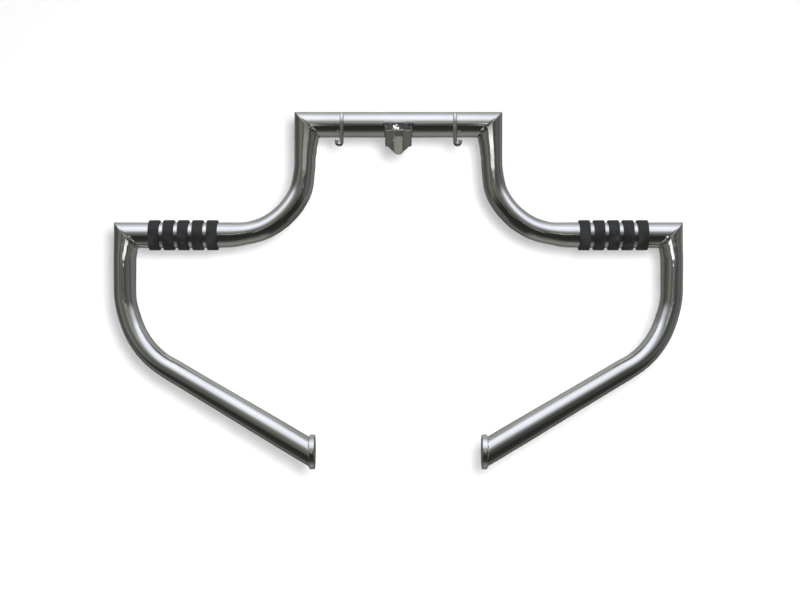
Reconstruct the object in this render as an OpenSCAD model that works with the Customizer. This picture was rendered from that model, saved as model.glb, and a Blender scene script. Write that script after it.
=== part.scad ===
// Welded tubular crash bars for the front of a motorcycle.
// +X right, +Y forwards, +Z up. The origin is on the axis of the centre bracket's threaded hole,
// at the underside of the bracket's flange.

/* [Tube] */
// Outer diameter of every tube
tube_d = 31.75; // [25:0.25:38]
// Wall thickness of every tube
tube_wall = 2.5; // [1.5:0.1:4]

/* [Crossbar and arms] */
// Distance from the middle of the bar to the axis of each upright
upright_x = 113.5; // [95:0.5:130]
// Height of the crossbar's axis above the arms' axis
arm_drop = 137.5; // [125:0.5:170]
// Centre line radius of the bend between upright and arm
arm_bend_r = 92; // [70:1:100]
// Distance from the middle of the bar to the axis of each leg
leg_x = 338; // [325:1:380]

/* [Legs] */
// Height of the arm's axis above the corner where the leg's two straights would meet
leg_drop = 134; // [110:1:170]
// Centre line radius of the leg's bend
leg_bend_r = 102; // [80:1:115]
// Angle the leg is bent through
leg_bend_angle = 61; // [50:1:68]
// Angle the lower tube is turned towards the rider, seen from above
leg_sweep = 12; // [0:1:20]
// Distance from the middle of the bar to the end of each lower tube
end_x = 107.5; // [90:0.5:130]

/* [End plates] */
// Diameter of the round end plates
plate_d = 42; // [40:1:60]
// Thickness of the end plates
plate_t = 6.5; // [4:0.5:10]
// Width of the chamfer around each end plate
plate_chamfer = 0.8; // [0.2:0.1:1.5]
// Diameter of the tapped hole in the end plates, an M10 thread's core
end_thread_d = 8.5; // [6:0.1:9]
// Width across flats of the nuts behind the end plates
end_nut_flats = 16; // [13:0.5:16]
// Thickness of the nuts behind the end plates
end_nut_t = 8; // [4:0.5:9]

/* [Centre bracket] */
// Distance from the crossbar's axis to the axis of the bracket's hole
bracket_reach = 28; // [27:0.5:34]
// Height of the flange's underside above the crossbar's axis
flange_rise = -3; // [-4:0.25:4]
// Width of the flange
flange_w = 38.5; // [36:0.5:46]
// Thickness of the flange
flange_t = 3.5; // [2.5:0.25:6]
// Depth of the flange in front of its hole
flange_lip = 12; // [9:0.5:18]
// Radius of the flange's two free corners
flange_corner_r = 5; // [1:0.5:8]
// Diameter of the clearance hole in the flange
flange_hole_d = 8.5; // [7:0.1:9]
// Diameter of the tapped hole in the bracket's nut, an M8 thread's core
bracket_thread_d = 6.8; // [5:0.1:7]
// Width across flats of the bracket's nut
bracket_nut_flats = 13; // [11:0.5:14]
// Thickness of the bracket's nut
bracket_nut_t = 7.5; // [4:0.5:9]
// Turn of the bracket's nut from having a flat to the rider
bracket_nut_turn = 30; // [0:1:30]
// Width of the folded saddle
saddle_w = 32.5; // [30:0.5:35]
// Width of the saddle's middle facet
saddle_facet_w = 11.2; // [9:0.2:14]
// Depth of the saddle's slanting facets
saddle_facet_depth = 8; // [5:0.5:10]
// Plate thickness of the saddle
saddle_t = 2.5; // [1.5:0.25:3]
// Distance from the flange's underside down to the saddle's upper edge
saddle_gap = 7.5; // [7:0.5:10]
// Height of the saddle from its upper edge to its lowest point
saddle_h = 30.5; // [24:0.5:34]
// Distance the saddle stands back from the flange's front edge
saddle_setback = 1; // [1:0.5:4]
// Slant of the saddle's lower edges from level
saddle_slant = 45; // [30:1:48]
// Radius of the saddle's lowest point
saddle_tip_r = 7; // [4:0.5:12]

/* [Hooks] */
// Distance from the middle of the bar to each hook
hook_x = 70; // [45:1:85]
// Diameter of the hooks' rod
hook_rod_d = 5; // [3:0.1:5.2]
// Angle over which the rod hugs the front of the crossbar, above its axis
hook_wrap = 35; // [20:1:75]
// Distance from the crossbar's axis down to the centre of the hook's curl
hook_drop = 23.5; // [19.5:0.1:30]
// Centre line radius of the hook's curl
hook_curl_r = 2.9; // [2.9:0.1:8]
// Length of the hook's free tip above the centre of its curl
hook_tip = 1.5; // [0.5:0.1:4]

/* [Rubber rings] */
// Distance from the middle of the bar to the middle ring
ring_x = 267; // [264:1:270]
// Spacing of the rings
ring_pitch = 18; // [15:0.5:18.5]
// Width of each ring
ring_w = 13; // [8:0.5:14]
// Thickness of the rubber around the tube
ring_t = 2.9; // [2:0.1:5]
// Radius of the rings' outer edges
ring_edge_r = 0.5; // [0.3:0.1:1.2]

/* [Hidden] */
$fn = 96;
// Length by which cutters run past what they cut
over = 60;
// Angle of the mitred corners
mitre = 45;
// Rings on each arm, as many as the nodes name
ring_count = 5;
bore_d = tube_d - 2 * tube_wall;
tube_r = tube_d / 2;
// Height of the arm bend's centre below the crossbar's axis
arm_bend_z = arm_drop - arm_bend_r;
// Length of the leg bend's tangents
leg_tangent = leg_bend_r * tan(leg_bend_angle / 2);
leg_bend_z = leg_drop - leg_tangent;
// The lower tube's run to its end, seen from above and in the plane of its bend
leg_run = (leg_x - end_x) / cos(leg_sweep);
lower_len = leg_run / sin(leg_bend_angle) - leg_tangent;
end_y = -(leg_x - end_x) * tan(leg_sweep);
end_z = -arm_drop - leg_drop - leg_run / tan(leg_bend_angle);
// Size of the blocks that cut along a plane, well past the tubes' ends
block = 2 * (leg_x + over - end_z);
flange_front = -bracket_reach - flange_lip;
saddle_front = flange_front + saddle_setback;
saddle_top = flange_rise - saddle_gap;
saddle_fold_y = saddle_front + saddle_facet_depth;
saddle_low = saddle_top - saddle_h;
// Where the saddle's lower edges leave its rounded lowest point
saddle_tip_x = saddle_tip_r * sin(saddle_slant);
saddle_tip_z = saddle_low + saddle_tip_r * (1 - cos(saddle_slant));
saddle_flare = saddle_w * tan(saddle_slant);
// The saddle's sides run on into the crossbar to here, and its tube cuts them off
saddle_back = -tube_r / 3;
hook_r = tube_r + hook_rod_d / 2;
ring_first = -(ring_count - 1) / 2;

chrome_colour = [0.82, 0.83, 0.84];
steel_colour = [0.62, 0.63, 0.64];
rubber_colour = [0.08, 0.08, 0.08];

// Puts a shape that is drawn around the crossbar's axis in its place by the bracket's hole
module on_crossbar()
    translate([0, bracket_reach, -flange_rise])
        children();

// Draws a right-hand shape on the left side
module on_left()
    mirror([1, 0, 0])
        children();

// A block whose upper face lies in the plane through its origin, turned about Y. It takes away
// what is below that face.
module half_space(turn)
    rotate([0, turn, 0])
        translate([-block / 2, -block / 2, -block])
            cube(block);

// A quarter turn that lays a shape of revolution in the plane of the bar
module in_bar_plane()
    rotate([90, 0, 0])
        children();

// A square block over the quarter turn that starts at an angle
module quarter_block(from, reach)
    rotate([0, 0, from])
        translate([0, 0, -reach])
            cube([reach, reach, 2 * reach]);

// A bent length of round bar of diameter d, centred on a circle of radius r, cut from a whole
// ring between two angles no more than a quarter turn apart
module bend(r, d, from, angle)
    in_bar_plane()
        intersection() {
            rotate_extrude()
                translate([r, 0])
                    circle(d = d);
            quarter_block(from, r + d);
            quarter_block(from + angle - 90, r + d);
        }

module crossbar_rod(d)
    translate([-upright_x - over, 0, 0])
        rotate([0, 90, 0])
            cylinder(d = d, h = 2 * (upright_x + over));

// Upright, bend and arm of the right side, longer than needed at both ends
module arm_rod(d) {
    translate([upright_x, 0, -arm_bend_z])
        cylinder(d = d, h = arm_bend_z + over);
    translate([upright_x + arm_bend_r, 0, -arm_bend_z])
        bend(arm_bend_r, d, 180, 90);
    translate([upright_x + arm_bend_r, 0, -arm_drop])
        rotate([0, 90, 0])
            cylinder(d = d, h = leg_x + over - upright_x - arm_bend_r);
}

// Upright, bend and lower tube of the right side, longer than needed at both ends. They are drawn
// around the bend's centre.
module leg_rod(d)
    translate([leg_x, 0, -arm_drop])
        rotate([0, 0, leg_sweep])
            translate([-leg_bend_r, 0, -leg_bend_z]) {
                translate([leg_bend_r, 0, 0])
                    cylinder(d = d, h = leg_bend_z + over);
                bend(leg_bend_r, d, -leg_bend_angle, leg_bend_angle);
                in_bar_plane()
                    rotate([0, 0, -leg_bend_angle])
                        translate([leg_bend_r, 0, 0])
                            rotate([90, 0, 0])
                                cylinder(d = d, h = lower_len + over);
            }

module crossbar_tube()
    color(chrome_colour)
        on_crossbar()
            difference() {
                crossbar_rod(tube_d);
                crossbar_rod(bore_d);
                for (side = [-1, 1])
                    translate([side * upright_x, 0, 0])
                        half_space(-side * mitre);
            }

module arm_tube()
    on_crossbar()
        difference() {
            arm_rod(tube_d);
            arm_rod(bore_d);
            translate([upright_x, 0, 0])
                half_space(180 - mitre);
            translate([leg_x, 0, -arm_drop])
                half_space(-mitre);
        }

module leg_tube()
    on_crossbar()
        difference() {
            leg_rod(tube_d);
            leg_rod(bore_d);
            translate([leg_x, 0, -arm_drop])
                half_space(180 - mitre);
            translate([end_x, 0, 0])
                half_space(90);
        }

// Places a shape drawn along +X from the end of the right-hand lower tube
module at_leg_end()
    on_crossbar()
        translate([end_x, end_y, end_z])
            rotate([0, 90, 0])
                children();

module end_plate()
    at_leg_end()
        difference() {
            translate([0, 0, -plate_t]) {
                cylinder(d1 = plate_d - 2 * plate_chamfer, d2 = plate_d, h = plate_chamfer);
                translate([0, 0, plate_chamfer])
                    cylinder(d = plate_d, h = plate_t - 2 * plate_chamfer);
                translate([0, 0, plate_t - plate_chamfer])
                    cylinder(d1 = plate_d, d2 = plate_d - 2 * plate_chamfer, h = plate_chamfer);
            }
            translate([0, 0, -plate_t - over])
                cylinder(d = end_thread_d, h = plate_t + 2 * over);
        }

// A hexagonal nut standing on the plane below it
module nut(flats, thickness, thread_d)
    difference() {
        cylinder(d = flats / cos(30), h = thickness, $fn = 6);
        translate([0, 0, -over])
            cylinder(d = thread_d, h = thickness + 2 * over);
    }

module end_nut()
    at_leg_end()
        nut(end_nut_flats, end_nut_t, end_thread_d);

module bracket_flange()
    color(chrome_colour)
        on_crossbar()
            difference() {
                translate([0, 0, flange_rise])
                    linear_extrude(flange_t)
                        union() {
                            translate([-flange_w / 2, flange_front + flange_corner_r])
                                square([flange_w, -flange_front - flange_corner_r]);
                            translate([-flange_w / 2 + flange_corner_r, flange_front])
                                square([flange_w - 2 * flange_corner_r, 2 * flange_corner_r]);
                            for (side = [-1, 1])
                                translate([
                                    side * (flange_w / 2 - flange_corner_r),
                                    flange_front + flange_corner_r
                                ])
                                    circle(r = flange_corner_r);
                        }
                crossbar_rod(tube_d);
                translate([0, -bracket_reach, -over])
                    cylinder(d = flange_hole_d, h = 2 * over);
            }

// Outline of the folded saddle seen from above, drawn in by an inset
module saddle_outline(inset, back) {
    slant = inset * tan(atan2(saddle_facet_depth, (saddle_w - saddle_facet_w) / 2) / 2);
    polygon([
        [-saddle_w / 2 + inset, back],
        [-saddle_w / 2 + inset, saddle_fold_y + inset - slant],
        [-saddle_facet_w / 2 + slant, saddle_front + inset],
        [saddle_facet_w / 2 - slant, saddle_front + inset],
        [saddle_w / 2 - inset, saddle_fold_y + inset - slant],
        [saddle_w / 2 - inset, back]
    ]);
}

// The saddle's slanting lower edges and rounded lowest point seen by the rider, wider than it is
module saddle_front_view() {
    translate([0, saddle_low + saddle_tip_r])
        circle(r = saddle_tip_r);
    polygon([
        [-saddle_tip_x, saddle_tip_z],
        [saddle_tip_x, saddle_tip_z],
        [saddle_tip_x + saddle_w, saddle_tip_z + saddle_flare],
        [-saddle_tip_x - saddle_w, saddle_tip_z + saddle_flare]
    ]);
}

module bracket_saddle()
    color(chrome_colour)
        on_crossbar()
            difference() {
                intersection() {
                    translate([0, 0, saddle_top - over])
                        linear_extrude(over)
                            difference() {
                                saddle_outline(0, saddle_back);
                                saddle_outline(saddle_t, saddle_back + over);
                            }
                    translate([0, over, 0])
                        in_bar_plane()
                            linear_extrude(2 * over)
                                saddle_front_view();
                }
                crossbar_rod(tube_d);
            }

module bracket_nut()
    color(steel_colour)
        translate([0, 0, -bracket_nut_t])
            rotate([0, 0, bracket_nut_turn])
                nut(bracket_nut_flats, bracket_nut_t, bracket_thread_d);

module hook()
    on_crossbar()
        translate([hook_x, 0, 0]) {
            // The part that hugs the front of the crossbar
            rotate([0, -90, 0])
                rotate([0, 0, -90])
                    rotate_extrude(angle = hook_wrap)
                        translate([hook_r, 0])
                            circle(d = hook_rod_d);
            translate([0, -hook_r * cos(hook_wrap), hook_r * sin(hook_wrap)])
                sphere(d = hook_rod_d);
            // The drop in front of the crossbar and the curl below it
            translate([0, -hook_r, 0]) {
                translate([0, 0, -hook_drop])
                    cylinder(d = hook_rod_d, h = hook_drop);
                translate([hook_curl_r, 0, -hook_drop])
                    in_bar_plane()
                        rotate([0, 0, 180])
                            rotate_extrude(angle = 180)
                                translate([hook_curl_r, 0])
                                    circle(d = hook_rod_d);
                translate([2 * hook_curl_r, 0, -hook_drop]) {
                    cylinder(d = hook_rod_d, h = hook_tip);
                    translate([0, 0, hook_tip])
                        sphere(d = hook_rod_d);
                }
            }
        }

// Section of a rubber ring above the tube, with its outer edges rounded
module ring_section() {
    square([ring_t - ring_edge_r, ring_w]);
    translate([0, ring_edge_r])
        square([ring_t, ring_w - 2 * ring_edge_r]);
    for (edge = [ring_edge_r, ring_w - ring_edge_r])
        translate([ring_t - ring_edge_r, edge])
            circle(r = ring_edge_r);
}

// Ring number i of the right arm, counted from the middle of the bar
module ring(i)
    color(rubber_colour)
        on_crossbar()
            translate([ring_x + (ring_first + i) * ring_pitch - ring_w / 2, 0, -arm_drop])
                rotate([0, 90, 0])
                    rotate_extrude()
                        translate([tube_r, 0])
                            ring_section();

module left_arm_tube() color(chrome_colour) on_left() arm_tube();
module right_arm_tube() color(chrome_colour) arm_tube();
module left_leg_tube() color(chrome_colour) on_left() leg_tube();
module right_leg_tube() color(chrome_colour) leg_tube();
module left_end_plate() color(chrome_colour) on_left() end_plate();
module right_end_plate() color(chrome_colour) end_plate();
module left_end_nut() color(steel_colour) on_left() end_nut();
module right_end_nut() color(steel_colour) end_nut();
module left_hook() color(chrome_colour) on_left() hook();
module right_hook() color(chrome_colour) hook();

crossbar_tube();
left_arm_tube();
right_arm_tube();
left_leg_tube();
right_leg_tube();
left_end_plate();
right_end_plate();
left_end_nut();
right_end_nut();
bracket_flange();
bracket_saddle();
bracket_nut();
left_hook();
right_hook();
for (i = [0 : ring_count - 1]) {
    on_left() ring(i);
    ring(i);
}
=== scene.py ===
"""Chromed motorcycle crash bars with rubber rings, hanging in front of a pale studio sweep."""

import math

import bmesh
import bpy
from mathutils import Matrix, Vector


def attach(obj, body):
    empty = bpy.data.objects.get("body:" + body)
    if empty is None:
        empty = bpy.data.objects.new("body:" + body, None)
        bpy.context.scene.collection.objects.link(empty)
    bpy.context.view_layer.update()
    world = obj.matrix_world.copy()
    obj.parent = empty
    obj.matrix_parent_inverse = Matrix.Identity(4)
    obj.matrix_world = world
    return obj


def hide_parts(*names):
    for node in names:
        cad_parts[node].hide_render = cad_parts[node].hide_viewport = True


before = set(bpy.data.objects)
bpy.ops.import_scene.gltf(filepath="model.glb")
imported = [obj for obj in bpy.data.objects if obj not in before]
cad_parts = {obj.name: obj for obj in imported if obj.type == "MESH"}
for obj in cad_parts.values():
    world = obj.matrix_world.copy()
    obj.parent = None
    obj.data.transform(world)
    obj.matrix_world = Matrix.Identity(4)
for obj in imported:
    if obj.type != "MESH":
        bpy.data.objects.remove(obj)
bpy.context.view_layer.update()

# Sizes in millimetres, around the crossbar's axis, as in the part's source
MM = 0.001
REACH = 28.0
RISE = -3.0
TUBE_R = 15.875
UPRIGHT_X = 113.5
ARM_DROP = 137.5
ARM_BEND_R = 92.0
LEG_X = 338.0
LEG_DROP = 134.0
LEG_BEND_R = 102.0
LEG_ANGLE = math.radians(61)
SWEEP = math.radians(12)
END_X = 107.5
PLATE_R = 21.0
PLATE_T = 6.5
PLATE_EASE = 0.8
PLATE_THREAD_DEPTH = 0.7
END_CORE_R = 4.25
END_PITCH = 1.5
END_NUT_FLATS = 16.0
END_NUT_TALL = 8.0
BRACKET_CORE_R = 3.4
BRACKET_PITCH = 1.25
BRACKET_NUT_FLATS = 13.0
BRACKET_NUT_TALL = 7.5
NUT_FACE_SHARE = 0.96
NUT_SLOPE = 1.73
NUT_CONE_OVER = 1.0
NUT_THREAD_DEPTH = 0.6
THREAD_SINK = 0.1
THREAD_SHARE = 0.96
FLANGE_HALF = 19.25
FLANGE_FRONT = -40.0
FLANGE_BACK = -14.4
FLANGE_T = 3.5
FLANGE_SLANT = 0.19
FLANGE_CORNER = 5.0
FLANGE_CUTS = 72
FLANGE_EASE = 0.5
FLANGE_BORE_R = 4.25
FLANGE_BORE_EASE = 0.4
SADDLE_HALF = 16.25
SADDLE_FACET_HALF = 5.6
SADDLE_FRONT = -39.0
SADDLE_FOLD = -31.0
SADDLE_TOP = -10.5
SADDLE_T = 2.5
SADDLE_LOW = -41.0
SADDLE_TIP_R = 7.0
SADDLE_SLANT = math.radians(45)
SADDLE_CREASE = -19.2
SADDLE_LEAN_ABOVE = 0.055
SADDLE_LEAN_BELOW = 0.045
SADDLE_BACK = -5.3
SADDLE_FOLD_R = 2.6
SADDLE_INNER_FOLD_R = 0.4
SADDLE_EASE = 0.45
HOOK_X = 70.0
HOOK_ROD_R = 2.5
HOOK_WRAP = math.radians(35)
HOOK_DROP = 23.5
HOOK_CURL_R = 2.9
HOOK_TIP = 1.5
HOOK_END_SHARE = 0.97
TACK_R = 0.6
TACK_HALF = 2.0
TACK_BESIDE = 2.0
PLATE_WELD_R = 0.85
BRACKET_WELD_R = 1.3
SADDLE_WELD_R = 1.2
RING_X = 267.0
RING_PITCH = 18.0
RING_W = 13.0
RING_T = 2.9
RING_EASE = 0.5
RING_SEAT_EASE = 0.3
RING_COUNT = 5
SIDES = {"left": -1, "right": 1}

X = Vector((1, 0, 0))
Y = Vector((0, 1, 0))
Z = Vector((0, 0, 1))
CORNER = Vector((UPRIGHT_X, 0, 0))
LEG_TOP = Vector((LEG_X, 0, -ARM_DROP))
LEG_OUT = Vector((math.cos(SWEEP), math.sin(SWEEP), 0))
LEG_TANGENT = LEG_BEND_R * math.tan(LEG_ANGLE / 2)
LEG_RUN = (LEG_X - END_X) / math.cos(SWEEP)
LEG_FIRST = LEG_DROP - LEG_TANGENT
LEG_LAST = LEG_RUN / math.sin(LEG_ANGLE) - LEG_TANGENT
END = Vector(
    (
        END_X,
        -(LEG_X - END_X) * math.tan(SWEEP),
        -ARM_DROP - LEG_DROP - LEG_RUN / math.tan(LEG_ANGLE),
    )
)


# Shader nodes


class Value:
    """A socket that takes part in sums and comparisons."""

    def __init__(self, graph, socket):
        self.graph = graph
        self.socket = socket

    def __add__(self, other):
        return self.graph.math("ADD", self, other)

    def __radd__(self, other):
        return self.graph.math("ADD", other, self)

    def __sub__(self, other):
        return self.graph.math("SUBTRACT", self, other)

    def __rsub__(self, other):
        return self.graph.math("SUBTRACT", other, self)

    def __mul__(self, other):
        return self.graph.math("MULTIPLY", self, other)

    def __rmul__(self, other):
        return self.graph.math("MULTIPLY", other, self)

    def __truediv__(self, other):
        return self.graph.math("DIVIDE", self, other)

    def __pow__(self, other):
        return self.graph.math("POWER", self, other)


class Graph:
    """The node tree of a material or of the world."""

    def __init__(self, tree):
        self.tree = tree
        tree.nodes.clear()

    def node(self, kind, settings=None, sockets=None):
        made = self.tree.nodes.new("ShaderNode" + kind)
        for name, value in (settings or {}).items():
            setattr(made, name, value)
        for name, value in (sockets or {}).items():
            self.feed(made.inputs[name], value)
        return made

    def feed(self, socket, value):
        if isinstance(value, Value):
            self.tree.links.new(value.socket, socket)
        else:
            socket.default_value = value

    def out(self, made, name=0):
        return Value(self, made.outputs[name])

    def math(self, operation, first, second=0.0, clamp=False):
        made = self.node("Math", {"operation": operation, "use_clamp": clamp})
        self.feed(made.inputs[0], first)
        self.feed(made.inputs[1], second)
        return self.out(made)

    def between(self, value, low, high, start=0.0, end=1.0):
        """start where value is low, end where it is high, with a smooth change."""
        made = self.node(
            "MapRange",
            {"interpolation_type": "SMOOTHSTEP"},
            {
                "Value": value,
                "From Min": low,
                "From Max": high,
                "To Min": start,
                "To Max": end,
            },
        )
        return self.out(made)

    def noise(self, place, scale, detail=3.0, rough=0.5):
        made = self.node(
            "TexNoise",
            None,
            {"Vector": place, "Scale": scale, "Detail": detail, "Roughness": rough},
        )
        return self.out(made, 0)

    def stretched(self, place, scale):
        made = self.node("Mapping", None, {"Vector": place, "Scale": scale})
        return self.out(made)

    def colours(self, factor, first, second):
        made = self.node("Mix", {"data_type": "RGBA"})
        self.feed(made.inputs["Factor"], factor)
        self.feed(made.inputs[6], (*first, 1) if isinstance(first, tuple) else first)
        self.feed(made.inputs[7], (*second, 1) if isinstance(second, tuple) else second)
        return self.out(made, 2)

    def ramp(self, value, stops):
        made = self.node("ValToRGB", None, {"Fac": value})
        points = made.color_ramp.elements
        while len(points) < len(stops):
            points.new(0.5)
        for point, (where, colour) in zip(points, stops):
            point.position = where
            point.color = (*colour, 1)
        return self.out(made)


def material(name):
    made = bpy.data.materials.new(name)
    made.use_nodes = True
    graph = Graph(made.node_tree)
    shader = graph.node("BsdfPrincipled")
    output = graph.node("OutputMaterial")
    made.node_tree.links.new(shader.outputs["BSDF"], output.inputs["Surface"])
    coordinates = graph.node("TexCoord")
    return made, graph, shader, graph.out(coordinates, "Object"), graph.out(coordinates, "UV")


def chrome_material():
    made, g, shader, place, wrap = material("chrome_plate")
    haze = g.noise(place, 14, 4)
    cloud = g.noise(place, 60, 3)
    lines = g.noise(g.stretched(wrap, (60, 900, 1)), 1, 2)
    specks = g.between(g.noise(place, 420, 2), 0.68, 0.78)
    g.feed(shader.inputs["Metallic"], 1.0)
    tone = g.between(haze, 0.35, 0.7)
    plate = g.colours(tone, (0.80, 0.81, 0.82), (0.72, 0.73, 0.72))
    g.feed(shader.inputs["Base Color"], g.colours(specks * 0.5, plate, (0.42, 0.41, 0.38)))
    g.feed(shader.inputs["Roughness"], 0.035 + 0.05 * tone + 0.03 * cloud + 0.1 * specks)
    relief = 0.5 * cloud + 0.25 * lines
    bump = g.node("Bump", None, {"Strength": 0.05, "Distance": 0.0006, "Height": relief})
    g.feed(shader.inputs["Normal"], g.out(bump))
    return made


def weld_material():
    made, g, shader, place, _ = material("chromed_weld")
    grain = g.noise(place, 700, 4, 0.6)
    # The pits are dents in the bump below, and their near-black colour is painted shade in those
    # dents
    pits_and_painted_shade = g.between(g.noise(place, 240, 3), 0.50, 0.60)
    g.feed(shader.inputs["Metallic"], 1.0)
    g.feed(shader.inputs["Base Color"], g.colours(pits_and_painted_shade, (0.80, 0.81, 0.82), (0.09, 0.10, 0.08)))
    g.feed(shader.inputs["Roughness"], 0.14 + 0.16 * grain + 0.15 * pits_and_painted_shade)
    bump = g.node(
        "Bump", None, {"Strength": 0.7, "Distance": 0.0007, "Height": grain - pits_and_painted_shade}
    )
    g.feed(shader.inputs["Normal"], g.out(bump))
    return made


def dull_chrome_material():
    made, g, shader, place, _ = material("dull_chrome_plate")
    haze = g.noise(place, 180, 4)
    blotch = g.between(g.noise(place, 90, 3), 0.5, 0.66)
    g.feed(shader.inputs["Metallic"], 1.0)
    g.feed(shader.inputs["Base Color"], g.colours(blotch, (0.76, 0.77, 0.77), (0.50, 0.51, 0.50)))
    g.feed(shader.inputs["Roughness"], 0.2 + 0.1 * haze + 0.1 * blotch)
    bump = g.node("Bump", None, {"Strength": 0.12, "Distance": 0.0004, "Height": haze})
    g.feed(shader.inputs["Normal"], g.out(bump))
    return made


def steel_material():
    made, g, shader, place, _ = material("zinc_plated_steel")
    spangle = g.node("TexVoronoi", None, {"Vector": place, "Scale": 900.0})
    grain = g.noise(place, 500, 3)
    stain = g.between(g.noise(place, 120, 4), 0.5, 0.75)
    g.feed(shader.inputs["Metallic"], 1.0)
    zinc = g.colours(grain, (0.66, 0.67, 0.69), (0.52, 0.53, 0.54))
    g.feed(shader.inputs["Base Color"], g.colours(stain * 0.6, zinc, (0.40, 0.36, 0.30)))
    g.feed(shader.inputs["Roughness"], 0.22 + 0.12 * grain + 0.15 * stain)
    relief = grain + 0.4 * g.out(spangle, "Distance")
    bump = g.node("Bump", None, {"Strength": 0.2, "Distance": 0.0003, "Height": relief})
    g.feed(shader.inputs["Normal"], g.out(bump))
    return made


def rubber_material():
    made, g, shader, place, _ = material("black_rubber")
    grain = g.noise(place, 1600, 4, 0.6)
    bloom = g.between(g.noise(place, 70, 4), 0.42, 0.72)
    dust = g.between(g.noise(place, 900, 2), 0.66, 0.76)
    dark = g.colours(bloom, (0.012, 0.012, 0.012), (0.026, 0.027, 0.026))
    g.feed(shader.inputs["Base Color"], g.colours(dust * 0.4, dark, (0.08, 0.08, 0.076)))
    g.feed(shader.inputs["Roughness"], 0.48 + 0.14 * bloom + 0.1 * grain)
    bump = g.node("Bump", None, {"Strength": 0.3, "Distance": 0.0002, "Height": grain})
    g.feed(shader.inputs["Normal"], g.out(bump))
    return made


CHROME = chrome_material()
DULL = dull_chrome_material()
WELD = weld_material()
STEEL = steel_material()
RUBBER = rubber_material()


# Mesh building


WRAP_AROUND = 0.1
WRAP_STEP = 0.002


def metres(point, side):
    """A point in millimetres around the crossbar's axis, on one side, in the row frame."""
    return Vector((side * point.x, point.y + REACH, point.z - RISE)) * MM


def dressed(name, mesh, finish, node, sharp):
    """An object of a finished mesh, with its shading, material and body."""
    mesh.shade_smooth()
    mesh.set_sharp_from_angle(angle=math.radians(sharp))
    mesh.materials.append(finish)
    made = bpy.data.objects.new(name, mesh)
    bpy.context.scene.collection.objects.link(made)
    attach(made, "root")
    if node:
        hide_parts(node)
    return made


def piece(name, rows, side, finish, node=None, looped=False, sharp=35):
    """A solid from rows of points, each a closed loop. The first and last rows are joined to
    each other if looped, and otherwise filled."""
    bm = bmesh.new()
    wrap = bm.loops.layers.uv.new("wrap")
    loops = [[bm.verts.new(metres(point, side)) for point in row] for row in rows]
    count = len(loops[0])
    pairs = list(zip(range(len(loops) - 1), range(1, len(loops))))
    if looped:
        pairs.append((len(loops) - 1, 0))
    for first, second in pairs:
        for k in range(count):
            after = (k + 1) % count
            face = bm.faces.new(
                (
                    loops[first][k],
                    loops[first][after],
                    loops[second][after],
                    loops[second][k],
                )
            )
            places = [(k, first), (k + 1, first), (k + 1, second), (k, second)]
            for loop, (turn, row) in zip(face.loops, places):
                loop[wrap].uv = (turn / count * WRAP_AROUND, row * WRAP_STEP)
    if not looped:
        bm.faces.new(loops[0])
        bm.faces.new(loops[-1])
    bmesh.ops.recalc_face_normals(bm, faces=bm.faces)
    mesh = bpy.data.meshes.new(name)
    bm.to_mesh(mesh)
    bm.free()
    return dressed(name, mesh, finish, node, sharp)


def table(knots):
    """A function through the knots with smooth steps between them."""

    def value(t):
        if t <= knots[0][0]:
            return knots[0][1]
        for (a, low), (b, high) in zip(knots, knots[1:]):
            if t <= b:
                part = (t - a) / (b - a)
                return low + (high - low) * part * part * (3 - 2 * part)
        return knots[-1][1]

    return value


def path(start, heading, inward, first, radius=1.0, angle=0.0):
    """The centre, heading and inward direction along a straight, a bend and a straight."""

    def place(t):
        if t <= first:
            return start + heading * t, heading, inward
        turn = min((t - first) / radius, angle)
        centre = start + heading * first + inward * radius
        out = inward * math.cos(turn) - heading * math.sin(turn)
        ahead = heading * math.cos(turn) + inward * math.sin(turn)
        rest = t - first - radius * turn
        return centre - out * radius + ahead * rest, ahead, out

    return place


FULL = 2 * TUBE_R
AROUND = 120
STRAIGHT_STEP = 8.0
BENT_STEP = 3.0
SEAM_DEPTH = 0.22
SEAM_HALF = 0.5
SEAM_CLEAR = 0.8
SEAM_ROWS = 8
LEG_FLAT_TURN = math.radians(16)


def plain(value):
    return lambda t: value


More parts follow.
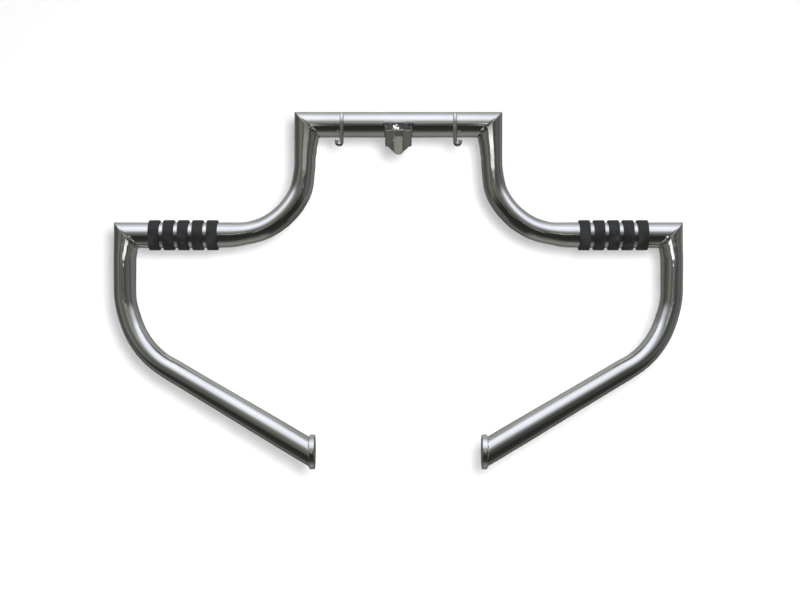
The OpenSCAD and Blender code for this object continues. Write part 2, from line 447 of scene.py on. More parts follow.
def tube_rows(
    path_at,
    length,
    step,
    start,
    end,
    width=plain(FULL),
    shift=plain(0.0),
    flat=plain(0.0),
    facing=X,
    bulge=plain(0.0),
):
    """Rows of a bent tube. start and end say where a point of the section meets the cut, along
    the tube, from its offset to the axis. width is measured across the bend, and shift moves the
    section inwards there. flat is how deep the side facing one way is pressed, and bulge is how
    far the narrowed tube stands out beside its bend."""

    def point(t, k, shrink=0.0):
        centre, ahead, inward = path_at(t)
        beside = ahead.cross(inward).normalized()
        angle = 2 * math.pi * k / AROUND
        half, deep = width(t) / 2 - shrink, TUBE_R + bulge(t) - shrink
        offset = inward * (shift(t) + half * math.cos(angle)) + beside * deep * math.sin(angle)
        pressed = flat(t)
        if pressed > 0:
            along, aside = inward.dot(facing), beside.dot(facing)
            limit = shift(t) * along + math.hypot(half * along, deep * aside) - pressed
            offset -= facing * max(0.0, offset.dot(facing) - limit)
        return centre, offset

    def at_cut(cut, t, inset, shrink=0.0):
        """Each point's place along the tube at a slanted cut, moved along by the inset."""
        places = []
        for k in range(AROUND):
            met = t
            for _ in range(5):
                met = cut(point(met, k)[1])
            places.append((met + inset, shrink))
        return places

    def slanted(places):
        return [sum(point(t, k, shrink), Vector()) for k, (t, shrink) in enumerate(places)]

    def turning(low, high):
        """Rows that turn from one slanted row of places into another."""
        steps = [j / SEAM_ROWS for j in range(1, SEAM_ROWS)]
        return [
            slanted([(a + (b - a) * part, 0.0) for (a, _), (b, _) in zip(low, high)])
            for part in steps
        ]

    head = at_cut(start, SEAM_HALF, SEAM_HALF)
    tail = at_cut(end, length - SEAM_HALF, -SEAM_HALF)
    first = max(t for t, _ in head) + SEAM_CLEAR
    last = min(t for t, _ in tail) - SEAM_CLEAR
    count = int((last - first) / step)
    rows = [slanted(at_cut(start, 0.0, 0.0, SEAM_DEPTH)), slanted(head)]
    rows += turning(head, [(first, 0.0)] * AROUND)
    for j in range(count + 1):
        rows.append(slanted([(first + (last - first) * j / count, 0.0)] * AROUND))
    rows += turning([(last, 0.0)] * AROUND, tail)
    return rows + [slanted(tail), slanted(at_cut(end, length, 0.0, SEAM_DEPTH))]


# Widths and shifts of the tubes, each after its distance along the tube
arm_bend_start = ARM_DROP - ARM_BEND_R
arm_bend_end = arm_bend_start + ARM_BEND_R * math.pi / 2
arm_length = arm_bend_end + LEG_X - UPRIGHT_X - ARM_BEND_R
arm_path = path(CORNER, -Z, X, arm_bend_start, ARM_BEND_R, math.pi / 2)
arm_width = table(
    [(4, FULL), (16, 30.4), (31, 27.9), (44, 26.3), (58, 26.3), (78, 27.8)]
    + [(arm_bend_end - 20, 27.8), (arm_bend_end + 6, 31.2), (arm_bend_end + 30, FULL)]
)
arm_shift = table(
    [(4, 0.0), (16, 0.7), (31, 1.9), (44, 2.7), (56, 2.7), (90, 0.0)]
    + [(arm_bend_end - 45, 0.0), (arm_bend_end - 12, 1.0), (arm_bend_end + 8, 0.3)]
    + [(arm_bend_end + 30, 0.0)]
)
arm_flat = table([(4, 0.42), (52, 0.42), (70, 0.0)])
leg_bend_end = LEG_FIRST + LEG_BEND_R * LEG_ANGLE
leg_length = leg_bend_end + LEG_LAST
leg_path = path(LEG_TOP, -Z, -LEG_OUT, LEG_FIRST, LEG_BEND_R, LEG_ANGLE)
leg_width = table(
    [(0, FULL), (8, 30.4), (17, 28.4), (30, 26.4), (LEG_FIRST + 6, 26.4)]
    + [(LEG_FIRST + 30, 26.9), (leg_bend_end - 10, 26.9), (leg_bend_end + 14, 28.2)]
    + [(leg_length - 20, 31.0)]
)
leg_shift = table(
    [(0, 0.0), (8, -0.6), (17, -1.5), (30, -2.46), (LEG_FIRST - 6, -2.46)]
    + [(LEG_FIRST + 34, 0.0)]
)
leg_flat = table([(1, 0.32), (28, 0.32), (44, 0.0)])
leg_facing = Vector((-math.sin(LEG_FLAT_TURN), -math.cos(LEG_FLAT_TURN), 0))
bulge_left = table([(34, 1.0), (90, 0.0)])


def leg_bulge(t):
    """Enough depth to keep the pressed flat upright, let out again along the bend."""
    along, aside = leg_facing.dot(-LEG_OUT), leg_facing.dot(LEG_OUT.cross(Z))
    near = min(t, LEG_FIRST)
    across = leg_width(near) / 2 * along
    deep = math.sqrt((TUBE_R - leg_shift(near) * along) ** 2 - across**2) / abs(aside)
    return (deep - TUBE_R) * bulge_left(t)


def leg_end(offset):
    centre, ahead, _ = leg_path(leg_length)
    return leg_length + (END_X - centre.x - offset.x) / ahead.x


bar_rows = tube_rows(
    path(-CORNER, X, Z, 2 * UPRIGHT_X),
    2 * UPRIGHT_X,
    STRAIGHT_STEP,
    start=lambda offset: -offset.z,
    end=lambda offset: 2 * UPRIGHT_X + offset.z,
)
arm_rows = tube_rows(
    arm_path,
    arm_length,
    BENT_STEP,
    start=lambda offset: -offset.x,
    end=lambda offset: arm_length + offset.z,
    width=arm_width,
    shift=arm_shift,
    flat=arm_flat,
    facing=-Y,
)
leg_rows = tube_rows(
    leg_path,
    leg_length,
    BENT_STEP,
    start=lambda offset: -offset.x,
    end=leg_end,
    width=leg_width,
    shift=leg_shift,
    flat=leg_flat,
    facing=leg_facing,
    bulge=leg_bulge,
)


BEAD_AROUND = 14


def bead(name, points, radii, side, looped=False):
    """A weld bead along points, with a radius at each point."""
    rows = []
    count = len(points)
    previous = None
    for i, centre in enumerate(points):
        before = points[(i - 1) % count] if looped or i > 0 else points[i]
        after = points[(i + 1) % count] if looped or i < count - 1 else points[i]
        ahead = (after - before).normalized()
        if previous is None:
            previous = ahead.orthogonal().normalized()
        across = (previous - ahead * previous.dot(ahead)).normalized()
        previous = across
        beside = ahead.cross(across)
        rows.append(
            [
                centre
                + radii[i]
                * (
                    across * math.cos(2 * math.pi * k / BEAD_AROUND)
                    + beside * math.sin(2 * math.pi * k / BEAD_AROUND)
                )
                for k in range(BEAD_AROUND)
            ]
        )
    return piece(name, rows, side, WELD, looped=looped, sharp=60)


# Height, count around the corner and start of each ripple
WELD_LUMPS = ((0.34, 13, 0.6), (0.24, 29, 0.0), (0.14, 61, 0.0))
WELD_STEPS = 260
WELD_ROOT_R = 0.3
WELD_PROUD = 1.9
WELD_SUNK = 0.06
WELD_WANDER = 0.5


def mitre_weld(name, corner, side, heel, fillet):
    """The bead around a mitred corner, wide in the inner half and ground flush outside."""
    points, radii = [], []
    swelling = table([(0.04, 0.0), (0.3, 1.0), (0.72, 1.0), (1.0, 0.5)])
    for i in range(WELD_STEPS):
        turn = 2 * math.pi * i / WELD_STEPS
        inner = max(0.0, math.cos(turn))
        swell = swelling(inner)
        radius = WELD_ROOT_R + fillet * swell
        lumps = sum(high * math.sin(turn * many + first) for high, many, first in WELD_LUMPS)
        sink = radius + WELD_SUNK - (WELD_PROUD + lumps) * swell
        reach = TUBE_R - sink - heel * inner**3
        mitre = Vector((-math.cos(turn), 0, -math.cos(turn))) * reach
        wander = X * WELD_WANDER * math.sin(turn * 17) * swell
        points.append(corner + mitre + wander + Y * math.sin(turn) * (TUBE_R - sink))
        radii.append(radius)
    bead(name, points, radii, side, looped=True)


def wavy(points, radius, amount=0.1, spacing=1.4):
    """Radii of a bead along points, with ripples that far apart."""
    length, radii = 0.0, []
    for i, point in enumerate(points):
        if i:
            length += (point - points[i - 1]).length
        radii.append(radius * (1 + amount * math.sin(2 * math.pi * length / spacing)))
    radii[0] = radii[-1] = radius * 0.35
    radii[1] = radii[-2] = radius * 0.8
    return radii


def line(start, end, count):
    return [start + (end - start) * i / (count - 1) for i in range(count)]


# Modelling with operators, in millimetres around the crossbar's axis or a piece's own axis

NEAR = 0.01


def add(primitive, **settings):
    """Adds a primitive at its size and place, with nothing else selected."""
    bpy.ops.object.select_all(action="DESELECT")
    primitive(calc_uvs=False, **settings)
    bpy.ops.object.transform_apply(location=True, rotation=True, scale=True)
    return bpy.context.object


def edit():
    """Opens the model that was added last, with all of it selected."""
    bpy.ops.object.mode_set(mode="EDIT")
    bpy.ops.mesh.select_all(action="SELECT")


def closed():
    """Ends editing, with doubles merged and faces pointing outwards."""
    bpy.ops.mesh.select_mode(type="VERT")
    bpy.ops.mesh.select_all(action="SELECT")
    bpy.ops.mesh.remove_doubles(threshold=0.001)
    bpy.ops.mesh.normals_make_consistent(inside=False)
    bpy.ops.object.mode_set(mode="OBJECT")
    return bpy.context.object


def choose(kind, test):
    """Selects the points, edges or faces whose middle passes the test."""
    bpy.ops.mesh.select_mode(type=kind)
    bpy.ops.mesh.select_all(action="DESELECT")
    mesh = bpy.context.object.data
    bm = bmesh.from_edit_mesh(mesh)
    for item in {"VERT": bm.verts, "EDGE": bm.edges, "FACE": bm.faces}[kind]:
        points = [item.co] if kind == "VERT" else [vert.co for vert in item.verts]
        if test(sum(points, Vector()) / len(points)):
            item.select_set(True)
    bm.select_flush_mode()
    bmesh.update_edit_mesh(mesh)


def bevel_rims(test, offset, segments):
    """Rounds the edges around the faces whose middle passes the test."""
    choose("FACE", test)
    bpy.ops.mesh.region_to_loop()
    bpy.ops.mesh.bevel(offset=offset, segments=segments, affect="EDGES")


def extrude(way):
    bpy.ops.mesh.extrude_region_move(TRANSFORM_OT_translate={"value": way})


def combine(model, tool, operation):
    """Cuts a tool out of a model, or keeps only what they share, and clears the tool away."""
    modifier = model.modifiers.new("cut", "BOOLEAN")
    modifier.operation = operation
    modifier.solver = "EXACT"
    modifier.object = tool
    bpy.ops.object.select_all(action="DESELECT")
    bpy.context.view_layer.objects.active = model
    model.select_set(True)
    bpy.ops.object.modifier_apply(modifier=modifier.name)
    bpy.data.meshes.remove(tool.data)


def drilled(model, x, y, low, high, radius, ease):
    """Bores a round hole upwards through a model and chamfers its rims."""
    drill = add(
        bpy.ops.mesh.primitive_cylinder_add,
        vertices=96,
        radius=radius,
        depth=3 * (high - low),
        location=(x, y, (low + high) / 2),
    )
    combine(model, drill, "DIFFERENCE")
    edit()

    def on_rim(p):
        aside = math.hypot(p.x - x, p.y - y) - radius
        return abs(aside) < NEAR and min(p.z - low, high - p.z) < NEAR

    choose("EDGE", on_rim)
    bpy.ops.mesh.bevel(offset=ease, segments=1, affect="EDGES")
    return closed()


def tapped(model, core, pitch, depth, length):
    """Bores a threaded hole along a model's own axis."""
    model = drilled(model, 0, 0, 0, length, core, depth)
    # A triangle with its base just inside the hole and its tip at the root of the thread
    groove = add(
        bpy.ops.mesh.primitive_circle_add,
        vertices=3,
        radius=1,
        rotation=(math.pi / 2, math.pi / 2, 0),
    )
    edit()
    tall, wide = depth + THREAD_SINK, THREAD_SHARE * pitch
    shape = (tall / 1.5, 1, wide / math.sqrt(3))
    bpy.ops.transform.resize(value=shape, center_override=(0, 0, 0))
    bpy.ops.transform.translate(value=(core - THREAD_SINK + tall / 3, 0, -pitch))
    bpy.ops.object.mode_set(mode="OBJECT")
    winding = groove.modifiers.new("winding", "SCREW")
    winding.screw_offset = pitch
    winding.iterations = math.ceil(length / pitch) + 2
    winding.steps = winding.render_steps = 48
    bpy.ops.object.modifier_apply(modifier=winding.name)
    edit()
    bpy.ops.mesh.fill_holes(sides=0)
    combine(model, closed(), "DIFFERENCE")
    return model


def nut_model(flats, tall, core, pitch):
    """A hexagonal nut that stands on its own axis, with both faces chamfered."""
    middle = (0, 0, tall / 2)
    model = add(
        bpy.ops.mesh.primitive_cylinder_add,
        vertices=6,
        radius=flats / math.sqrt(3),
        depth=tall,
        location=middle,
    )
    # A cone from each side takes the corners off, and passes both faces
    narrow = NUT_FACE_SHARE * flats / 2 - NUT_SLOPE * NUT_CONE_OVER
    depth = tall + 2 * NUT_CONE_OVER
    wide = narrow + NUT_SLOPE * depth
    for low, high in ((narrow, wide), (wide, narrow)):
        cone = add(
            bpy.ops.mesh.primitive_cone_add,
            vertices=120,
            radius1=low,
            radius2=high,
            depth=depth,
            location=middle,
        )
        combine(model, cone, "INTERSECT")
    return tapped(model, core, pitch, NUT_THREAD_DEPTH, tall)


def plate_model():
    """A thick round plate that stands on its own axis, with a threaded hole."""
    add(
        bpy.ops.mesh.primitive_cylinder_add,
        vertices=128,
        radius=PLATE_R,
        depth=PLATE_T,
        location=(0, 0, PLATE_T / 2),
    )
    edit()
    bevel_rims(lambda p: min(p.z, PLATE_T - p.z) < NEAR, PLATE_EASE, 5)
    return tapped(closed(), END_CORE_R, END_PITCH, PLATE_THREAD_DEPTH, PLATE_T)


def ring_model():
    """A rubber ring around the X axis, spun from its section."""
    middle = Vector((0, 0, TUBE_R + RING_T / 2))
    add(bpy.ops.mesh.primitive_plane_add, size=1, location=middle, rotation=(math.pi / 2, 0, 0))
    edit()
    bpy.ops.transform.resize(value=(RING_W, 1, RING_T), center_override=middle)
    for outside, ease, segments in ((True, RING_EASE, 6), (False, RING_SEAT_EASE, 1)):
        choose("VERT", lambda p: (p.z > middle.z) == outside and abs(p.x) > RING_W / 2 - NEAR)
        bpy.ops.mesh.bevel(offset=ease, segments=segments, affect="VERTICES")
    bpy.ops.mesh.select_all(action="SELECT")
    bpy.ops.mesh.delete(type="ONLY_FACE")
    # Rows across the outer face, which keep it flat between its rounded edges
    choose("EDGE", lambda p: p.z > TUBE_R + RING_T - NEAR and abs(p.x) < NEAR)
    bpy.ops.mesh.subdivide(number_cuts=4)
    bpy.ops.mesh.select_all(action="SELECT")
    bpy.ops.mesh.spin(steps=96, angle=2 * math.pi, center=(0, 0, 0), axis=X)
    return closed()


def hook_model():
    """A round rod that wraps over the crossbar, drops straight and curls up at its tip."""
    away = TUBE_R + HOOK_ROD_R
    turn = Matrix.Rotation(-HOOK_WRAP, 3, "X")
    heading = turn @ -Z
    first = turn @ Vector((HOOK_X, -away, 0)) - heading * HOOK_ROD_R
    curl = Vector((HOOK_X + HOOK_CURL_R, -away, -HOOK_DROP))
    last = curl + X * HOOK_CURL_R + Z * (HOOK_TIP + HOOK_ROD_R)
    add(
        bpy.ops.mesh.primitive_circle_add,
        vertices=28,
        radius=HOOK_ROD_R,
        location=first,
        rotation=(-HOOK_WRAP, 0, 0),
    )
    edit()
    extrude(heading * HOOK_ROD_R)
    bpy.ops.mesh.spin(steps=16, angle=HOOK_WRAP, center=(HOOK_X, 0, 0), axis=-X)
    extrude(-Z * HOOK_DROP)
    bpy.ops.mesh.spin(steps=16, angle=math.pi, center=curl, axis=Y)
    extrude(Z * (HOOK_TIP + HOOK_ROD_R))
    bpy.ops.mesh.select_all(action="SELECT")
    bpy.ops.mesh.fill_holes(sides=0)
    # Both ends nearly half round
    ease = HOOK_END_SHARE * HOOK_ROD_R
    bevel_rims(lambda p: min((p - first).length, (p - last).length) < NEAR, ease, 8)
    return closed()


def flange_model():
    """The bracket's top plate: front corners rounded, sides leaning in, edges eased and a hole."""
    middle = Vector((0, (FLANGE_FRONT + FLANGE_BACK) / 2, RISE + FLANGE_T / 2))
    add(
        bpy.ops.mesh.primitive_cube_add,
        size=1,
        location=middle,
        scale=(2 * FLANGE_HALF, FLANGE_BACK - FLANGE_FRONT, FLANGE_T),
    )
    edit()
    choose("EDGE", lambda p: p.y < FLANGE_FRONT + NEAR and abs(p.x) > FLANGE_HALF - NEAR)
    bpy.ops.mesh.bevel(offset=FLANGE_CORNER, segments=12, affect="EDGES")
    drilled(closed(), 0, -REACH, RISE, RISE + FLANGE_T, FLANGE_BORE_R, FLANGE_BORE_EASE)
    edit()
    # Cuts through the hole's axis, so that the sides lean in towards it all the way round
    for i in range(FLANGE_CUTS):
        across = Matrix.Rotation(math.pi * i / FLANGE_CUTS, 3, "Z") @ Y
        bpy.ops.mesh.select_all(action="SELECT")
        bpy.ops.mesh.bisect(plane_co=(0, -REACH, 0), plane_no=across)

    def off_hole(p):
        return math.hypot(p.x, p.y + REACH) > 2 * FLANGE_BORE_R

    choose("VERT", lambda p: p.z > middle.z and off_hole(p))
    bpy.ops.transform.push_pull(
        value=FLANGE_SLANT * FLANGE_T,
        center_override=(0, -REACH, RISE + FLANGE_T),
    )
    bevel_rims(lambda p: abs(p.z - middle.z) < NEAR and off_hole(p), FLANGE_EASE, 4)
    return closed()


def placed(name, model, side, finish, node, seat, sharp=30):
    """A copy of a model, with its own mesh, moved to its seat on one side."""
    mesh = model.data.copy()
    mesh.name = name
    row_frame = Matrix.Diagonal((side * MM, MM, MM, 1)) @ Matrix.Translation((0, REACH, -RISE))
    mesh.transform(row_frame @ seat)
    if side < 0:
        mesh.flip_normals()
    return dressed(name, mesh, finish, node, sharp)


# Tubes, welds, plates, nuts, hooks and rings of both sides
piece("crossbar", bar_rows, 1, CHROME, "crossbar_tube")
plate = plate_model()
end_nut = nut_model(END_NUT_FLATS, END_NUT_TALL, END_CORE_R, END_PITCH)
hook = hook_model()
ring = ring_model()
# Turns a model that stands upright so that it points along +X
along_x = Matrix(((0, 0, 1, 0), (1, 0, 0, 0), (0, 1, 0, 0), (0, 0, 0, 1)))
plate_seat = Matrix.Translation(END - X * PLATE_T) @ along_x
nut_seat = Matrix.Translation(END) @ along_x
for word, side in SIDES.items():
    piece(f"{word}_arm", arm_rows, side, CHROME, f"{word}_arm_tube")
    piece(f"{word}_leg", leg_rows, side, CHROME, f"{word}_leg_tube")
    mitre_weld(f"{word}_corner_weld", CORNER, side, 0.2, 5.4)
    mitre_weld(f"{word}_leg_weld", LEG_TOP, side, 0.6, 4.2)
    placed(f"{word}_plate", plate, side, CHROME, f"{word}_end_plate", plate_seat)
    placed(f"{word}_plate_nut", end_nut, side, STEEL, f"{word}_end_nut", nut_seat, sharp=25)
    placed(f"{word}_bent_hook", hook, side, DULL, f"{word}_hook", Matrix(), sharp=60)
    for index in range(RING_COUNT):
        middle = RING_X + (index - (RING_COUNT - 1) / 2) * RING_PITCH
        seat = Matrix.Translation((middle, 0, -ARM_DROP))
        number = index + 1
        placed(f"{word}_rubber_{number}", ring, side, RUBBER, f"{word}_ring_{number}", seat)
    # Fillet weld around the lower tube's end, on the plate
    rim = [p + (p - END).normalized() * 0.15 + X * 0.25 for p in leg_rows[-1]]
    turns = [2 * math.pi * k / AROUND for k in range(AROUND)]
    ripples = [PLATE_WELD_R * (1 + 0.10 * math.sin(17 * turn)) for turn in turns]
    bead(f"{word}_plate_weld", rim, ripples, side, looped=True)
    # Tack welds between hook and crossbar
    for tack, height in (("upper", 7.5), ("lower", -4.0)):
        depth = -math.sqrt(TUBE_R**2 - height**2) - 0.6
        for edge, x in (("a", HOOK_X - TACK_BESIDE), ("b", HOOK_X + TACK_BESIDE)):
            low = Vector((x, depth, height - TACK_HALF))
            run = line(low, low + Z * 2 * TACK_HALF, 12)
            bead(f"{word}_hook_{tack}_tack_{edge}", run, wavy(run, TACK_R), side)
for model in (plate, end_nut, hook, ring):
    bpy.data.meshes.remove(model.data)


# Centre bracket


def fold_line(half, front, fold, facet, radius, steps=6):
    """The saddle's outline seen from above, with its folds rounded."""
    corners = [
        Vector((-half, SADDLE_BACK)),
        Vector((-half, fold)),
        Vector((-facet, front)),
        Vector((facet, front)),
        Vector((half, fold)),
        Vector((half, SADDLE_BACK)),
    ]
    points = line(corners[0], corners[1], 8)[:-1]
    for before, here, after in zip(corners, corners[1:], corners[2:]):
        a = (before - here).normalized()
        b = (after - here).normalized()
        half_angle = a.angle(b) / 2
        tangent = radius / math.tan(half_angle)
        start, end = here + a * tangent, here + b * tangent
        middle = here + (a + b).normalized() * radius / math.sin(half_angle)
        for i in range(steps + 1):
            part = start.lerp(end, i / steps)
            points.append(middle + (part - middle).normalized() * radius)
        if after is not corners[-1]:
            stop = after + (here - after).normalized() * radius
            points += line(end, stop, 6)[1:-1]
    points += line(points[-1], corners[-1], 8)[1:]
    return points


def saddle():
    outer = fold_line(SADDLE_HALF, SADDLE_FRONT, SADDLE_FOLD, SADDLE_FACET_HALF, SADDLE_FOLD_R)
    slope = math.atan2(SADDLE_FOLD - SADDLE_FRONT, SADDLE_HALF - SADDLE_FACET_HALF)
    slant = SADDLE_T * math.tan(slope / 2)
    inner = fold_line(
        SADDLE_HALF - SADDLE_T,
        SADDLE_FRONT + SADDLE_T,
        SADDLE_FOLD + SADDLE_T - slant,
        SADDLE_FACET_HALF - slant,
        SADDLE_INNER_FOLD_R,
    )
    rows = []
    ease = SADDLE_EASE
    tip_x = SADDLE_TIP_R * math.sin(SADDLE_SLANT)
    tip_z = SADDLE_LOW + SADDLE_TIP_R * (1 - math.cos(SADDLE_SLANT))

    def leaning(point, z):
        """The middle facet leans out a little above and below its crease."""
        part = (SADDLE_FOLD - point.y) / (SADDLE_FOLD - SADDLE_FRONT)
        front = max(0.0, min(1.0, 4 * part - 3))
        rise = z - SADDLE_CREASE
        out = rise * SADDLE_LEAN_ABOVE if rise > 0 else -rise * SADDLE_LEAN_BELOW
        return Vector((point.x, point.y - front * out, z))

    for out, into in zip(outer, inner):
        x = abs(out.x)
        if x < tip_x:
            low = SADDLE_LOW + SADDLE_TIP_R - math.sqrt(SADDLE_TIP_R**2 - x * x)
        else:
            low = tip_z + (x - tip_x) * math.tan(SADDLE_SLANT)
        top = SADDLE_TOP
        if out.y > -16.5:
            reach = max(0.0, TUBE_R**2 - min(out.y, 0) ** 2)
            top = min(top, -math.sqrt(reach) + 1.0)
        low = min(low, top - 2 * ease)
        across = (into - out).normalized() * ease
        ring = []
        levels = [low + ease + (top - low - 2 * ease) * i / 26 for i in range(27)]
        ring.append((out + across, low))
        ring.append((out + across * 0.3, low + ease * 0.3))
        ring += [(out, z) for z in levels]
        ring.append((out + across * 0.3, top - ease * 0.3))
        ring.append((out + across, top))
        ring.append((into - across, top))
        ring.append((into - across * 0.3, top - ease * 0.3))
        ring += [(into, z) for z in reversed(levels)]
        ring.append((into - across * 0.3, low + ease * 0.3))
        ring.append((into - across, low))
        rows.append([leaning(p, z) for p, z in ring])
    piece("bracket_folded_plate", rows, 1, CHROME, "bracket_saddle", sharp=30)


flange = flange_model()
placed("bracket_top_plate", flange, 1, CHROME, "bracket_flange", Matrix())
saddle()
nut = nut_model(BRACKET_NUT_FLATS, BRACKET_NUT_TALL, BRACKET_CORE_R, BRACKET_PITCH)
seat = Matrix.Translation((0, -REACH, RISE - BRACKET_NUT_TALL))
placed("bracket_weld_nut", nut, 1, STEEL, "bracket_nut", seat, sharp=25)
for model in (flange, nut):
    bpy.data.meshes.remove(model.data)
for place, height in (("upper", RISE + FLANGE_T), ("lower", RISE)):
    depth = -math.sqrt(TUBE_R**2 - height**2) - 0.3
    end = Vector((FLANGE_HALF - 1.0, depth, height))
    run = line(end - X * 2 * end.x, end, 120)
    bead(f"bracket_{place}_weld", run, wavy(run, BRACKET_WELD_R), 1)
for word, side in SIDES.items():
    run = []
    for i in range(40):
        angle = math.radians(28 + 52 * i / 39)
        round_tube = -Y * math.cos(angle) - Z * math.sin(angle)
        run.append(X * (SADDLE_HALF - 0.2) + round_tube * TUBE_R)
    bead(f"bracket_{word}_side_weld", run, wavy(run, SADDLE_WELD_R), side)


# Stage, lights and camera


WALL_Y = 0.33
WALL_MIDDLE = 0.5
WALL_TOP = 2.6
FLOOR_Z = -0.855
FLOOR_NEAR = -4.5
FLOOR_MIDDLE = -2.0
FLOOR_HALF = 4.0
SWEEP_R = 0.14


def sweep():
    """A floor that turns up into a wall behind the object. Seen from behind, it is clear."""
    turn = Vector((WALL_Y - SWEEP_R, FLOOR_Z + SWEEP_R))
    profile = [(FLOOR_NEAR, FLOOR_Z), (FLOOR_MIDDLE, FLOOR_Z)]
    for i in range(17):
        angle = math.pi / 2 * i / 16
        profile.append(turn + SWEEP_R * Vector((math.sin(angle), -math.cos(angle))))
    profile += [(WALL_Y, WALL_MIDDLE), (WALL_Y, WALL_TOP)]
    verts = [(x, y, z) for y, z in profile for x in (-FLOOR_HALF, FLOOR_HALF)]
    faces = [(2 * i, 2 * i + 1, 2 * i + 3, 2 * i + 2) for i in range(len(profile) - 1)]
    mesh = bpy.data.meshes.new("sweep")
    mesh.from_pydata(verts, [], faces)
    mesh.shade_smooth()
    made = bpy.data.objects.new("sweep", mesh)
    bpy.context.scene.collection.objects.link(made)
    paper = bpy.data.materials.new("pale_paper")
    paper.use_nodes = True
    g = Graph(paper.node_tree)
    grain = g.noise(g.out(g.node("TexCoord"), "Object"), 300, 3)
    tone = g.colours(grain, (0.93, 0.93, 0.94), (0.90, 0.90, 0.90))
    # The floor looks as pale as the wall, and lights the object no more than the wall does
    height = g.out(g.node("SeparateXYZ", None, {"Vector": g.out(g.node("TexCoord"), "Object")}), 2)
    floor = g.between(height, -0.84, -0.67, 1.0, 0.0)
    seen = g.out(g.node("LightPath"), "Is Camera Ray")
    glow = g.colours(seen * floor, (0.10, 0.10, 0.10), (0.62, 0.62, 0.62))
    front = g.node(
        "BsdfPrincipled",
        None,
        {
            "Base Color": tone,
            "Roughness": 0.9,
            "Specular IOR Level": 0.0,
            "Emission Color": glow,
            "Emission Strength": 1.0,
        },
    )
    back = g.node("BsdfTransparent")
    mix = g.node("MixShader")
    g.feed(mix.inputs[0], g.out(g.node("NewGeometry"), "Backfacing"))
    g.tree.links.new(front.outputs[0], mix.inputs[1])
    g.tree.links.new(back.outputs[0], mix.inputs[2])
    g.tree.links.new(mix.outputs[0], g.node("OutputMaterial").inputs["Surface"])
    mesh.materials.append(paper)
    made.visible_glossy = False


def area(name, place, target, size, power, shape="RECTANGLE", glossy=True, spread=180):
    """A soft light at a place, turned to its target. It is seen only in reflections."""
    light = bpy.data.lights.new(name, "AREA")
    light.spread = math.radians(spread)
    light.shape = shape
    light.size, light.size_y = size
    light.energy = power
    made = bpy.data.objects.new(name, light)
    made.location = place
    made.rotation_euler = (target - place).to_track_quat("-Z", "Y").to_euler()
    made.visible_glossy = glossy
    made.visible_camera = False
    bpy.context.scene.collection.objects.link(made)


def brightness(strength, size):
    """The power of a light that looks that bright in a mirror."""
    return strength * math.pi * size[0] * size[1]


VIEW_FAR = 1.8
VIEW_AT = Vector((0.002, REACH * MM, -0.2152))
VIEW_FROM = VIEW_AT - Y * VIEW_FAR
KEY_ASIDE = 0.058
KEY_SIZE = (0.13, 0.13)
KEY_POWER = 30
SPOT_SIZE = (0.05, 0.05)
SPOT_FROM = Vector((-0.8640, -0.4997, 0.1147))
SPOT_AT = Vector((-0.003, -0.0056, -0.004))
STRIP_Y = -1.9

camera_data = bpy.data.cameras.new("camera")
camera_data.sensor_width = 36
camera_data.lens = 65.06
camera = bpy.data.objects.new("camera", camera_data)
camera.location = VIEW_FROM
camera.rotation_euler = (math.pi / 2, 0, 0)
bpy.context.scene.collection.objects.link(camera)
bpy.context.scene.camera = camera

sweep()
# Beside the camera, so that the wall's shadow falls a little down and to the left
key_from = VIEW_FROM + (X + Z) * KEY_ASIDE
area("key", key_from, VIEW_AT, KEY_SIZE, KEY_POWER, "DISK", glossy=False)
area("nut_spot", SPOT_FROM, SPOT_AT, SPOT_SIZE, brightness(0.05, SPOT_SIZE), spread=2.2)
# Streaks in the pressed flats of the uprights. Heights are measured from the crossbar's axis
for name, x, low, high, width, strength in (
    ("right_strip", 0.236, 0.088, 0.222, 0.04, 2.0),
    ("right_low_strip", 0.232, -0.64, -0.10, 0.03, 0.7),
    ("left_strip", -0.236, 0.0, 0.222, 0.03, 0.30),
    ("left_low_strip", -0.232, -0.64, -0.10, 0.03, 0.7),
    ("right_spot", 0.413, -0.132, -0.045, 0.05, 1.25),
    ("left_spot", -0.413, -0.132, -0.045, 0.05, 1.25),
):
    place = Vector((x, STRIP_Y, (low + high) / 2 - RISE * MM))
    size = (width, high - low)
    area(name, place, place + Y, size, brightness(strength, size))


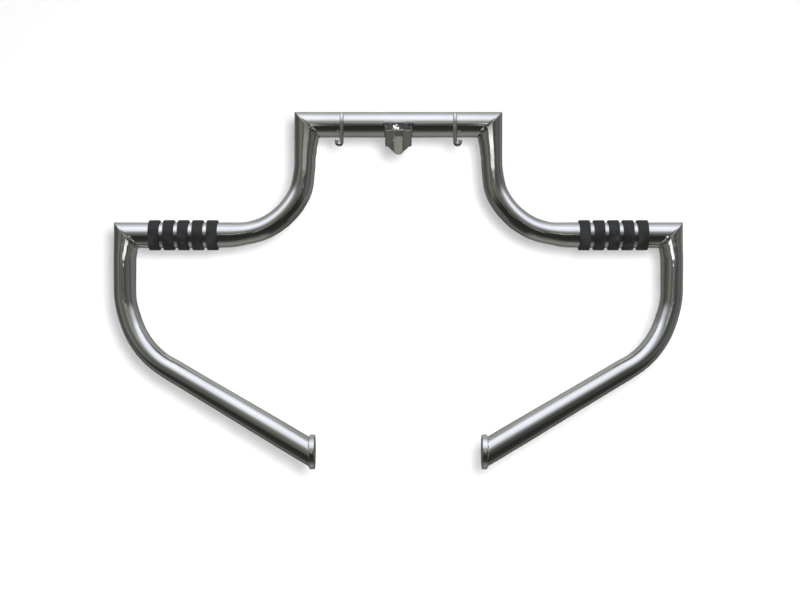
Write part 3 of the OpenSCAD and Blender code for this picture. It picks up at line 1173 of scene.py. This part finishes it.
def surroundings():
    """A room that the chrome reflects: bright above, dark in front and below, grey stripes at the
    sides. The camera sees it as plain and pale."""
    world = bpy.data.worlds.new("room")
    bpy.context.scene.world = world
    world.use_nodes = True
    g = Graph(world.node_tree)
    way = g.node("SeparateXYZ", None, {"Vector": g.out(g.node("TexCoord"), "Generated")})
    x, y, z = (g.out(way, i) for i in range(3))
    ahead = 0 - y
    rise = g.math("ARCTAN2", z, ahead) / (2 * math.pi) + 0.5
    turn = g.math("ARCTAN2", x, ahead) / (2 * math.pi) + 0.5

    cool, olive = (0.97, 0.98, 1.06), (1.0, 1.02, 0.90)

    def degrees(stops):
        """Stops of a ramp from angles, how bright it is there, and the tint."""
        return [
            ((angle + 180) / 360, tuple(bright * part for part in tint))
            for angle, bright, tint in stops
        ]

    above = degrees(
        [
            (-180, 0.12, olive),
            (-141, 0.17, olive),
            (-122, 0.20, olive),
            (-107, 0.27, olive),
            (-94, 0.24, olive),
            (-82, 0.19, olive),
            (-71, 0.11, olive),
            (-62, 0.05, olive),
            (-50, 0.033, olive),
            (-22, 0.024, olive),
            (-13, 0.04, olive),
            (-5, 0.12, olive),
            (4, 0.23, olive),
            (13, 0.32, olive),
            (24, 0.36, olive),
            (32, 0.66, cool),
            (40, 1.0, cool),
            (52, 1.08, cool),
            (62, 1.28, cool),
            (74, 1.08, cool),
            (86, 0.88, cool),
            (100, 0.68, cool),
            (115, 0.42, olive),
            (140, 0.44, olive),
            (180, 0.18, olive),
        ]
    )
    aslant = degrees(
        [
            (-180, 0.07, olive),
            (-141, 0.10, olive),
            (-122, 0.15, olive),
            (-107, 0.12, olive),
            (-94, 0.055, olive),
            (-82, 0.04, olive),
            (-71, 0.033, olive),
            (-50, 0.028, olive),
            (-22, 0.024, olive),
            (-13, 0.03, olive),
            (-5, 0.06, olive),
            (4, 0.12, olive),
            (13, 0.2, olive),
            (24, 0.3, olive),
            (32, 0.6, cool),
            (40, 0.95, cool),
            (52, 1.08, cool),
            (62, 1.2, cool),
            (74, 0.95, cool),
            (86, 0.70, cool),
            (100, 0.48, cool),
            (115, 0.32, olive),
            (140, 0.32, olive),
            (180, 0.14, olive),
        ]
    )
    beside = degrees(
        [
            (-180, 0.12, olive),
            (-128, 0.16, olive),
            (-112, 0.08, olive),
            (-92, 0.07, olive),
            (-72, 0.13, olive),
            (-52, 0.20, olive),
            (-36, 0.10, olive),
            (-18, 0.16, olive),
            (-6, 0.09, olive),
            (20, 0.08, cool),
            (34, 0.07, olive),
            (58, 0.12, olive),
            (78, 0.14, olive),
            (92, 0.07, olive),
            (104, 0.20, olive),
            (140, 0.18, cool),
            (180, 0.12, olive),
        ]
    )
    spread = x * x + z * z
    upright = z * z / (spread + 0.0001)
    lean, level = g.between(upright, 0.04, 0.34), g.between(upright, 0.80, 0.95)
    leaning = g.colours(lean, g.ramp(turn, beside), g.ramp(rise, aslant))
    room = g.colours(level, leaning, g.ramp(rise, above))
    light_path = g.node("LightPath")
    seen = g.out(light_path, "Is Camera Ray")
    soft = g.colours(seen, (0.24, 0.24, 0.245), (0.90, 0.90, 0.91))
    colour = g.colours(g.out(light_path, "Is Glossy Ray"), soft, room)
    background = g.node("Background", None, {"Color": colour, "Strength": 1.0})
    g.tree.links.new(background.outputs[0], g.node("OutputWorld").inputs["Surface"])


surroundings()
settings = bpy.context.scene.view_settings
settings.view_transform = "Standard"
settings.look = "None"
